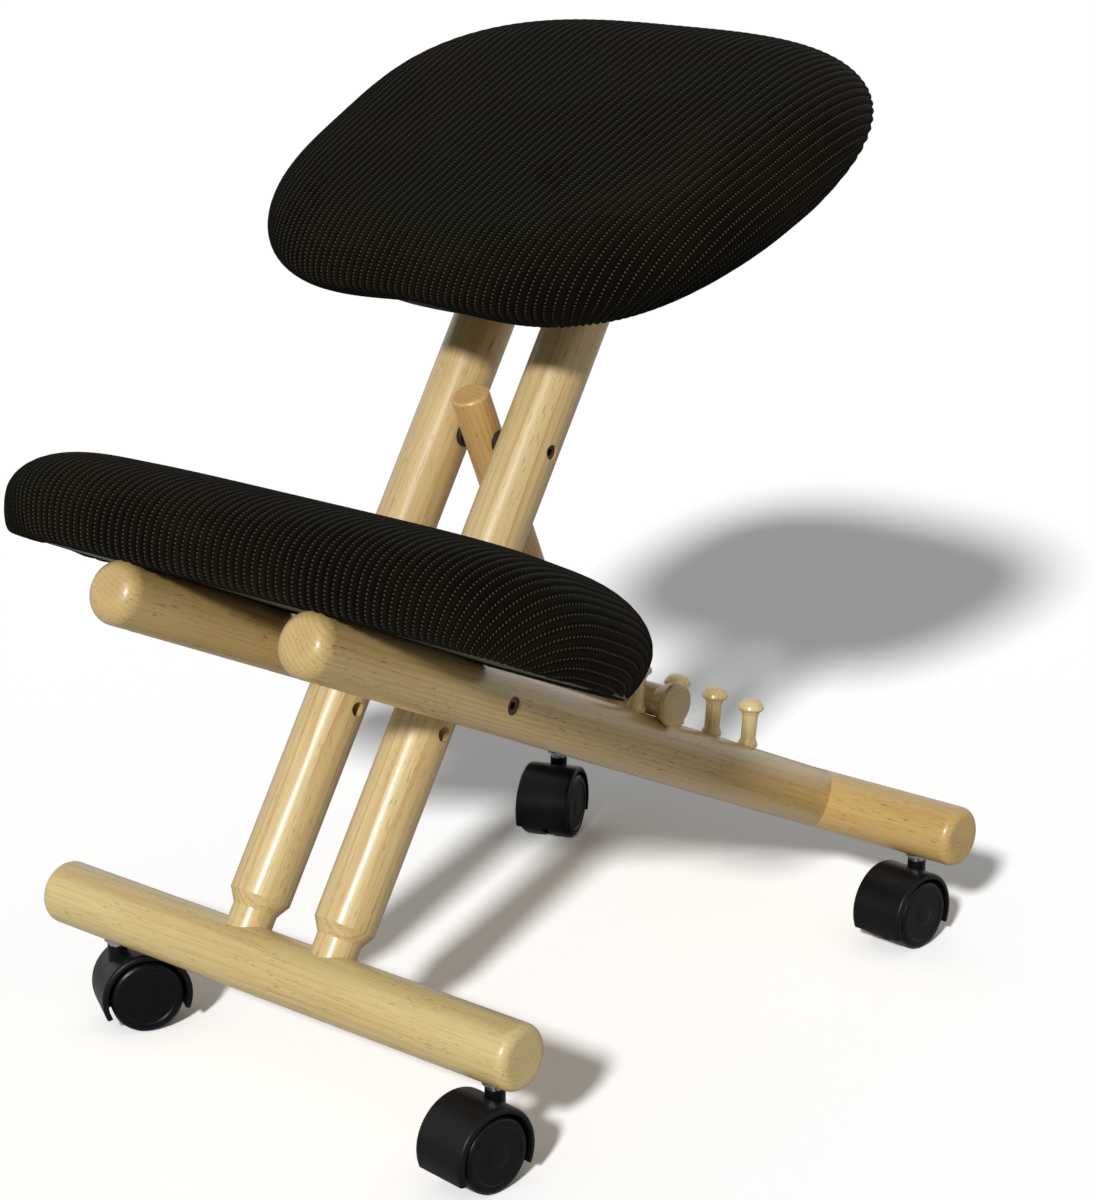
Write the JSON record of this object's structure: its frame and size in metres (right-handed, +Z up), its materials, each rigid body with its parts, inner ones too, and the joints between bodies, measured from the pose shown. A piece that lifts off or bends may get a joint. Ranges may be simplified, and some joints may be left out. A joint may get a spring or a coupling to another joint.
{
  "type": "kneeling chair",
  "caption": "Kneeling chair: crossed frames of beech rounds on casters, a strut set between rail pegs, a tilted seat cushion and a wide knee cushion.",
  "frame": {"origin": "on the floor, under the middle of the whole chair", "axes": "+Z is up, the knee cushion faces -Y, and +X is to the right for someone who looks at the knee cushion from in front"},
  "size_m": [0.4906, 0.5643, 0.6535],
  "materials": {
    "beech": "clear satin lacquer over pale steamed beech",
    "black_ply": "plywood stained matt black",
    "rib_knit": "black ribbed knit upholstery cloth",
    "black_nylon": "moulded black nylon, satin",
    "spacer_nylon": "dark nylon spacer ring",
    "bright_steel": "plain turned steel",
    "zinc_steel": "zinc plated steel",
    "dark_steel": "browned steel bolt"
  },
  "bodies": {
    "knee_frame": {"rear_bar": "beech", "rail_left": "beech", "rail_right": "beech", "rail_bolts": "dark_steel", "pegs_left": "beech", "pegs_right": "beech", "knee_board": "black_ply", "knee_cushion": "rib_knit", "knee_screws": "bright_steel", "sockets_rear": "zinc_steel"},
    "seat_frame": {"front_bar": "beech", "post_left": "beech", "post_right": "beech", "seat_cleat": "beech", "seat_board": "black_ply", "seat_cushion": "rib_knit", "seat_screws": "bright_steel", "post_screws": "bright_steel", "sockets_front": "zinc_steel", "pivot_bolts": "dark_steel", "pivot_nuts": "dark_steel", "pivot_spacers": "spacer_nylon", "strut_bolt": "dark_steel", "strut_nut": "dark_steel", "strut_spacers": "spacer_nylon"},
    "strut_frame": {"strut": "beech", "cross_bar": "beech"},
    "caster_front_left": {"hood_front_left": "black_nylon", "stem_front_left": "zinc_steel", "axle_front_left": "bright_steel"},
    "wheel_front_left_inner": {"wheel_front_left_inner": "black_nylon"},
    "wheel_front_left_outer": {"wheel_front_left_outer": "black_nylon"},
    "caster_front_right": {"hood_front_right": "black_nylon", "stem_front_right": "zinc_steel", "axle_front_right": "bright_steel"},
    "wheel_front_right_inner": {"wheel_front_right_inner": "black_nylon"},
    "wheel_front_right_outer": {"wheel_front_right_outer": "black_nylon"},
    "caster_rear_left": {"hood_rear_left": "black_nylon", "stem_rear_left": "zinc_steel", "axle_rear_left": "bright_steel"},
    "wheel_rear_left_inner": {"wheel_rear_left_inner": "black_nylon"},
    "wheel_rear_left_outer": {"wheel_rear_left_outer": "black_nylon"},
    "caster_rear_right": {"hood_rear_right": "black_nylon", "stem_rear_right": "zinc_steel", "axle_rear_right": "bright_steel"},
    "wheel_rear_right_inner": {"wheel_rear_right_inner": "black_nylon"},
    "wheel_rear_right_outer": {"wheel_rear_right_outer": "black_nylon"}
  },
  "joints": [
    {"name": "fold", "type": "hinge", "parent": "knee_frame", "child": "seat_frame", "pos_m": [0, -0.10651, 0.25599], "axis": [1, 0, 0], "range_deg": [0, 10]},
    {"name": "strut_swing", "type": "hinge", "parent": "seat_frame", "child": "strut_frame", "pos_m": [0, -0.01637, 0.39585], "axis": [1, 0, 0], "range_deg": [-1.2, 0]},
    {"name": "swivel_front_left", "type": "hinge", "parent": "seat_frame", "child": "caster_front_left", "pos_m": [-0.1555, -0.21735, 0.062], "axis": [0, 0, 1], "continuous": true},
    {"name": "spin_front_left_inner", "type": "hinge", "parent": "caster_front_left", "child": "wheel_front_left_inner", "pos_m": [-0.14726, -0.20363, 0.025], "axis": [-0.8572, 0.515, 0], "continuous": true},
    {"name": "spin_front_left_outer", "type": "hinge", "parent": "caster_front_left", "child": "wheel_front_left_outer", "pos_m": [-0.14726, -0.20363, 0.025], "axis": [-0.8572, 0.515, 0], "continuous": true},
    {"name": "swivel_front_right", "type": "hinge", "parent": "seat_frame", "child": "caster_front_right", "pos_m": [0.1835, -0.21735, 0.062], "axis": [0, 0, 1], "continuous": true},
    {"name": "spin_front_right_inner", "type": "hinge", "parent": "caster_front_right", "child": "wheel_front_right_inner", "pos_m": [0.18155, -0.23322, 0.025], "axis": [0.9925, -0.1219, 0], "continuous": true},
    {"name": "spin_front_right_outer", "type": "hinge", "parent": "caster_front_right", "child": "wheel_front_right_outer", "pos_m": [0.18155, -0.23322, 0.025], "axis": [0.9925, -0.1219, 0], "continuous": true},
    {"name": "swivel_rear_left", "type": "hinge", "parent": "knee_frame", "child": "caster_rear_left", "pos_m": [-0.169, 0.26066, 0.062], "axis": [0, 0, 1], "continuous": true},
    {"name": "spin_rear_left_inner", "type": "hinge", "parent": "caster_rear_left", "child": "wheel_rear_left_inner", "pos_m": [-0.16301, 0.24582, 0.025], "axis": [0.9272, 0.3746, 0], "continuous": true},
    {"name": "spin_rear_left_outer", "type": "hinge", "parent": "caster_rear_left", "child": "wheel_rear_left_outer", "pos_m": [-0.16301, 0.24582, 0.025], "axis": [0.9272, 0.3746, 0], "continuous": true},
    {"name": "swivel_rear_right", "type": "hinge", "parent": "knee_frame", "child": "caster_rear_right", "pos_m": [0.169, 0.26066, 0.062], "axis": [0, 0, 1], "continuous": true},
    {"name": "spin_rear_right_inner", "type": "hinge", "parent": "caster_rear_right", "child": "wheel_rear_right_inner", "pos_m": [0.16788, 0.24469, 0.025], "axis": [0.9976, -0.0698, 0], "continuous": true},
    {"name": "spin_rear_right_outer", "type": "hinge", "parent": "caster_rear_right", "child": "wheel_rear_right_outer", "pos_m": [0.16788, 0.24469, 0.025], "axis": [0.9976, -0.0698, 0], "continuous": true}
  ],
  "couplings": [
    {"joint": "strut_swing", "follows": "fold", "ratio": -0.12}
  ]
}
